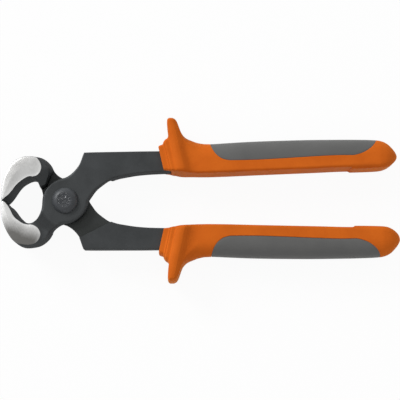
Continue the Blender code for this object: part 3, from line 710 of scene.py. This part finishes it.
def stations(table, start, end, steps):
    # places between start and end that crowd where the table's rows do
    rows = sorted({start, end} | {row[0] for row in table if start < row[0] < end})
    found = []
    for low, high in zip(rows, rows[1:]):
        count = max(1, min(steps, math.ceil((high - low) / sleeve["finestRow"])))
        found += [blend(low, high, i / count) for i in range(count)]
    return found + [end]


def sectionPoint(row, share, depth):     # a point of the outer face in one half, set in by depth
    inner, outer, half, rounding, corner = row
    start, outerHere, halfHere = inner + corner, outer - depth, half - depth
    roundingHere = max(sleeve["leastRounding"], rounding - depth * 0.5)
    y = start + (outerHere - start) * math.sin(share * math.pi / 2.0)
    intoRound = max(0.0, (y - (outerHere - roundingHere)) / roundingHere)
    power = sleeve["roundingPower"]
    return y, halfHere * max(0.0, 1.0 - intoRound ** power) ** (1.0 / power)


def borderShare(place, row):     # how far round the section the seam of the inlay lies
    y = rowAt(inlay["border"], place)[0]
    start = row[0] + row[4]
    reach = min(inlay["endShare"], (y - start) / (row[1] - start))
    share = min(inlay["endShare"], math.asin(reach) * 2.0 / math.pi)
    away = max(inlayStart - place, place - inlayEnd, 0.0)
    return blend(share, inlay["plainShare"], ease(away, 0.0, inlay["fade"]))


def sleeveLoop(place, depth, slotted):
    # once round the sleeve, from the middle of its inner side
    row = rowAt(sleeve["sections"], place)
    inner, half, corner = row[0], row[2], row[4]
    floor = sleeve["mouthOuter"] if slotted else inner
    slotHalf = min(sleeve["mouthHalf"], half - corner - sleeve["mouthWall"])
    near = [(floor, 0.0), (floor, slotHalf if slotted else slotHalf / 2.0), (inner, slotHalf)]
    for i in range(sleeve["cornerSteps"] + 1):     # the inner corner, as a quarter round
        turn = math.pi / 2.0 * i / sleeve["cornerSteps"]
        near.append((inner + corner * (1.0 - math.cos(turn)), half - corner * (1.0 - math.sin(turn))))
    border = borderShare(place, row)
    columns = sleeve["faceColumns"]
    for i in range(1, columns + 1):
        share = 1.0 - (1.0 - i / columns) ** sleeve["faceCrowd"]
        y, z = sectionPoint(row, border * share, 0.0)
        near.append((y, z - (inlay["lip"] if depth and i == columns else 0.0)))
    columns = sleeve["softColumns"]
    for i in range(columns + 1):
        near.append(sectionPoint(row, blend(border + 0.001, 1.0, i / columns), depth))
    loop = near + [(y, -z) for y, z in reversed(near[1:-1])]
    return [(leaning(place, y), y, z) for y, z in loop]


def skinOver(bm, loops):
    # a grid carried through closed loops of points
    rows, columns = len(loops) - 1, len(loops[0])
    for vert in bmesh.ops.create_grid(bm, x_segments=columns, y_segments=rows, size=0.5)["verts"]:
        column = round((vert.co.x + 0.5) * columns) % columns
        vert.co = loops[round((vert.co.y + 0.5) * rows)][column]
    bmesh.ops.remove_doubles(bm, verts=bm.verts, dist=mergeDistance)


def closeEnds(bm, loops):
    for end in (loops[0], loops[-1]):
        openEdges = [edge for edge in bm.edges if edge.is_boundary
                     and min((edge.verts[0].co - Vector(point)).length for point in end) < matchDistance]
        bmesh.ops.edgeloop_fill(bm, edges=openEdges)


def buildSleeve(node, turned, material, body):
    bm = bmesh.new()
    sections, steps, end = sleeve["sections"], sleeve["rowSteps"], sleeve["mouthEnd"]
    wall = sleeve["recessWall"]
    loops = [sleeveLoop(place, 0.0, True) for place in stations(sections, sections[0][0], end, steps)]
    wallRow = len(loops)
    loops += [sleeveLoop(place, 0.0, False)
              for place in stations(sections, end, inlayStart - 2.0 * wall, steps)]
    loops += [sleeveLoop(place, inlay["thickness"] + sleeve["recessGap"], False)
              for place in stations(inlayRows, inlayStart - wall, inlayEnd + wall, inlay["rowSteps"])]
    loops += [sleeveLoop(place, 0.0, False)
              for place in stations(sections, inlayEnd + 2.0 * wall, sections[-1][0], steps)]
    wallCorners = [Vector(loops[wallRow - 1][i]) for i in (0, 1, 2, -1, -2)]
    wallCorners += [Vector(loops[wallRow][i]) for i in (0, 1, -1)]
    skinOver(bm, loops)
    bmesh.ops.dissolve_degenerate(bm, dist=mergeDistance, edges=bm.edges)
    closeEnds(bm, loops)     # the lip of the mouth and the end of the nose

    # the wall at the end of the slot becomes one face, set in and drawn out to the pocket of the tang
    def onWall(face):
        return all(min((vert.co - corner).length for corner in wallCorners) < matchDistance
                   for vert in face.verts)

    faces = bmesh.ops.dissolve_faces(bm, faces=[face for face in bm.faces if onWall(face)])["region"]
    pocketFace = faces[0]
    bmesh.ops.inset_individual(bm, faces=[pocketFace], thickness=sleeve["pocketInset"], use_even_offset=True)
    for step, (place, outer, inner, half) in enumerate(sleeve["pocket"]):
        if step:
            pocketFace = bmesh.ops.extrude_discrete_faces(bm, faces=[pocketFace])["faces"][0]
        middle = sum(vert.co.y for vert in pocketFace.verts) / len(pocketFace.verts)
        for vert in pocketFace.verts:     # the points halfway up the inner side come to lie on its corners
            y = outer if vert.co.y > middle else inner
            z = math.copysign(half, vert.co.z) if abs(vert.co.z) > matchDistance else 0.0
            vert.co = (leaning(place, y), y, z)
    finishPiece(node, bm, material, body, sleeve["sharpAngle"], turned)


def inlayLoop(place, endDip):
    # once round the strip: its outer face, then back along its inner face
    row = rowAt(sleeve["sections"], place)
    border = borderShare(place, row)
    border += inlay["gap"] / (row[1] - row[0]) * (1.0 - border) * 1.3 + 0.002     # leaves the gap at the seam
    columns = sleeve["softColumns"]

    def face(dips):
        near = [sectionPoint(row, blend(border, 1.0, (i / columns) ** inlay["crowd"]), dip)
                for i, dip in enumerate(dips)]
        return near + [(y, -z) for y, z in reversed(near[:-1])]

    outside = face([inlay["lip"] * max(0.0, 1.0 - i / 2.0) ** 2 + endDip for i in range(columns + 1)])
    inside = face([inlay["thickness"]] * (columns + 1))
    return [(leaning(place, y), y, z) for y, z in outside + inside[::-1]]


def buildInlay(node, turned, material, body):
    bm = bmesh.new()
    first, last = inlayStart + inlay["endGap"], inlayEnd - inlay["endGap"]
    loops = []
    for place in stations(inlayRows, first, last, inlay["rowSteps"]):
        nearEnd = max(0.0, 1.0 - min(place - first, last - place) / inlay["endRound"])
        loops.append(inlayLoop(place, inlay["lip"] * nearEnd ** 2))
    skinOver(bm, loops)
    closeEnds(bm, loops)
    finishPiece(node, bm, material, body, inlay["sharpAngle"], turned)


def gripPlastic(name, part):     # hard or soft plastic of one colour, with the fine grain of its mould
    material, tree, shader, place = newMaterial(name, part["shader"])
    grain = addGrain(tree, place, *part["grain"])
    finishShader(tree, shader, grainColour(tree, grain, part["colours"]),
                 grainRoughness(tree, grain, part["roughness"]), grain.outputs["Height"], part["bump"])
    return material


buildSleeve("upper_grip_body", False, gripPlastic("upper sleeve satin orange", sleeve), "front_side")
buildSleeve("lower_grip_body", True, gripPlastic("lower sleeve satin orange", sleeve), "back_side")
buildInlay("upper_grip_inlay", False, gripPlastic("upper inlay soft grey", inlay), "front_side")
buildInlay("lower_grip_inlay", True, gripPlastic("lower inlay soft grey", inlay), "back_side")
print("handles done")


# Floor, light and camera
studio = {
    "floorSize": 8.0, "floorGap": 0.0001, "floorTone": 0.86, "floorOwnWhite": 0.94,
    "skyLow": 0.50, "skyHigh": 0.63,                      # sky on the dark side and on the light side
    "skyTowards": (-0.62, 0.55, 0.35), "skyFade": (-0.5, 0.8), "horizonFade": (0.25, 0.55),
    "keyPlace": (-1.40, 1.16, 1.00), "keySize": 1.0, "keyPower": 30.0,
    "fillPlace": (0.25, -0.5, 0.9), "fillSize": 0.6, "fillPower": 0.4,
    "lampAim": (0.0, 0.0, 0.01),
}
view = {
    "lookAt": (-0.000654, 0.000204, 0.010), "distance": 0.5083, "elevation": 81.2, "roll": 0.60,
    "lens": 90.0, "sensor": 36.0, "clip": (0.01, 20.0),
}


def seenDirectly(tree):     # camera, mirror and glass rays see the background's own white
    path = addNode(tree, "ShaderNodeLightPath").outputs
    either = addMath(tree, "MAXIMUM", path["Is Camera Ray"], path["Is Glossy Ray"])
    return addMath(tree, "MAXIMUM", either, path["Is Transmission Ray"])


def buildFloor():
    bm = bmesh.new()
    bmesh.ops.create_grid(bm, x_segments=2, y_segments=2, size=studio["floorSize"] / 2.0)
    bmesh.ops.translate(bm, verts=bm.verts, vec=(0.0, 0.0, cadBox[0].z - studio["floorGap"]))
    mesh = bpy.data.meshes.new("floor")
    bm.to_mesh(mesh)
    bm.free()
    floor = bpy.data.objects.new("floor", mesh)
    bpy.context.scene.collection.objects.link(floor)
    material = bpy.data.materials.new("pale floor")
    material.use_nodes = True
    tree = material.node_tree
    tree.nodes.clear()
    tone = studio["floorTone"]
    matt = addNode(tree, "ShaderNodeBsdfDiffuse", {"Color": (tone, tone, tone, 1.0)})
    white = addNode(tree, "ShaderNodeEmission", {"Color": (1.0, 1.0, 1.0, 1.0), "Strength": 1.0})
    share = addMath(tree, "MULTIPLY", seenDirectly(tree), studio["floorOwnWhite"])
    mixed = addNode(tree, "ShaderNodeMixShader", {0: share, 1: matt.outputs[0], 2: white.outputs[0]})
    addNode(tree, "ShaderNodeOutputMaterial", {"Surface": mixed.outputs[0]})
    mesh.materials.append(material)


def buildSky():
    world = bpy.data.worlds.new("studio")
    bpy.context.scene.world = world
    world.use_nodes = True
    tree = world.node_tree
    tree.nodes.clear()
    direction = addNode(tree, "ShaderNodeTexCoord").outputs["Generated"]
    lightSide = addNode(tree, "ShaderNodeVectorMath", {0: direction, 1: studio["skyTowards"]},
                        operation="DOT_PRODUCT").outputs["Value"]
    level = spread(tree, lightSide, *studio["skyFade"], studio["skyLow"], studio["skyHigh"])
    parts = addNode(tree, "ShaderNodeSeparateXYZ", {"Vector": direction})
    low = spread(tree, parts.outputs["Z"], *studio["horizonFade"], 1.0, 0.0)
    strength = valueMix(tree, addMath(tree, "MULTIPLY", low, seenDirectly(tree)), level, 1.0)
    sky = addNode(tree, "ShaderNodeBackground", {"Color": (1.0, 1.0, 1.0, 1.0), "Strength": strength})
    addNode(tree, "ShaderNodeOutputWorld", {"Surface": sky.outputs[0]})


def addLamp(name, place, size, power):
    lamp = bpy.data.lights.new(name, "AREA")
    lamp.shape, lamp.size, lamp.energy = "DISK", size, power
    holder = bpy.data.objects.new(name, lamp)
    holder.location = place
    holder.rotation_mode = "QUATERNION"
    holder.rotation_quaternion = (Vector(studio["lampAim"]) - Vector(place)).to_track_quat("-Z", "Y")
    bpy.context.scene.collection.objects.link(holder)


def buildCamera():
    tilt, roll = math.radians(view["elevation"]), math.radians(view["roll"])
    back = Vector((0.0, -math.cos(tilt), math.sin(tilt)))
    level, upward = Vector((1.0, 0.0, 0.0)), Vector((0.0, math.sin(tilt), math.cos(tilt)))
    right = level * math.cos(roll) - upward * math.sin(roll)
    up = level * math.sin(roll) + upward * math.cos(roll)
    data = bpy.data.cameras.new("camera")
    data.lens, data.sensor_width = view["lens"], view["sensor"]
    data.clip_start, data.clip_end = view["clip"]
    camera = bpy.data.objects.new("camera", data)
    turn = Matrix((right, up, back)).transposed().to_4x4()
    camera.matrix_world = Matrix.Translation(Vector(view["lookAt"]) + back * view["distance"]) @ turn
    bpy.context.scene.collection.objects.link(camera)
    bpy.context.scene.camera = camera


buildFloor()
buildSky()
addLamp("key", studio["keyPlace"], studio["keySize"], studio["keyPower"])
addLamp("fill", studio["fillPlace"], studio["fillSize"], studio["fillPower"])
buildCamera()
bpy.context.scene.view_settings.view_transform = "Standard"
print("studio done")
